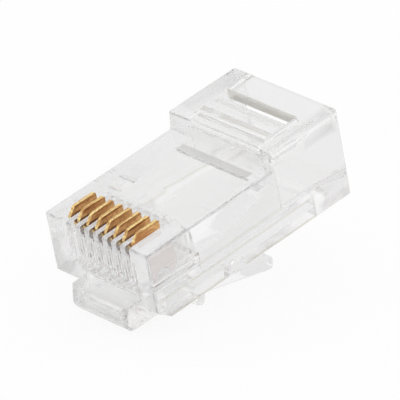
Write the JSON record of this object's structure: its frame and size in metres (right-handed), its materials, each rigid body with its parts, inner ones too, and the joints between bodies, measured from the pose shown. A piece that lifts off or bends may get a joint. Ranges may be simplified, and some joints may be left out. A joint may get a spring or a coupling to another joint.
{
  "type": "rj45 modular plug",
  "caption": "Clear eight-way modular plug with gold-faced blade contacts, a spring latch below and an open cable entry, not yet crimped.",
  "frame": {"origin": "middle of the plug on the plane of its front face, level with the undersides of the two guide rails", "axes": "+X across the plug, +Y from the front face back to the cable entry, +Z from the guide rails up to the contact side; the plug goes into its jack along -Y"},
  "size_m": [0.0116, 0.0227, 0.0136],
  "materials": {
    "clear_plastic": "polished clear polycarbonate",
    "contact_gold": "gold-flashed stamped copper alloy"
  },
  "bodies": {
    "housing": {"housing": "clear_plastic"},
    "latch": {"latch": "clear_plastic"},
    "strain_relief_bar": {"strain_relief_bar": "clear_plastic"},
    "contact_1": {"contact_1": "contact_gold"},
    "contact_2": {"contact_2": "contact_gold"},
    "contact_3": {"contact_3": "contact_gold"},
    "contact_4": {"contact_4": "contact_gold"},
    "contact_5": {"contact_5": "contact_gold"},
    "contact_6": {"contact_6": "contact_gold"},
    "contact_7": {"contact_7": "contact_gold"},
    "contact_8": {"contact_8": "contact_gold"}
  },
  "joints": [
    {"name": "latch_press", "type": "hinge", "parent": "housing", "child": "latch", "pos_m": [0, 0.0023, -0.00088], "axis": [1, 0, 0], "range_deg": [0, 14], "stiffness_Nm_per_rad": 0.17},
    {"name": "strain_relief_fold", "type": "hinge", "parent": "housing", "child": "strain_relief_bar", "pos_m": [0, 0.01557, 0.00747], "axis": [-1, 0, 0], "range_deg": [0, 35]},
    {"name": "contact_1_crimp", "type": "slide", "parent": "housing", "child": "contact_1", "axis": [0, 0, -1], "range_m": [0, 0.00096]},
    {"name": "contact_2_crimp", "type": "slide", "parent": "housing", "child": "contact_2", "axis": [0, 0, -1], "range_m": [0, 0.00096]},
    {"name": "contact_3_crimp", "type": "slide", "parent": "housing", "child": "contact_3", "axis": [0, 0, -1], "range_m": [0, 0.00096]},
    {"name": "contact_4_crimp", "type": "slide", "parent": "housing", "child": "contact_4", "axis": [0, 0, -1], "range_m": [0, 0.00096]},
    {"name": "contact_5_crimp", "type": "slide", "parent": "housing", "child": "contact_5", "axis": [0, 0, -1], "range_m": [0, 0.00096]},
    {"name": "contact_6_crimp", "type": "slide", "parent": "housing", "child": "contact_6", "axis": [0, 0, -1], "range_m": [0, 0.00096]},
    {"name": "contact_7_crimp", "type": "slide", "parent": "housing", "child": "contact_7", "axis": [0, 0, -1], "range_m": [0, 0.00096]},
    {"name": "contact_8_crimp", "type": "slide", "parent": "housing", "child": "contact_8", "axis": [0, 0, -1], "range_m": [0, 0.00096]}
  ]
}
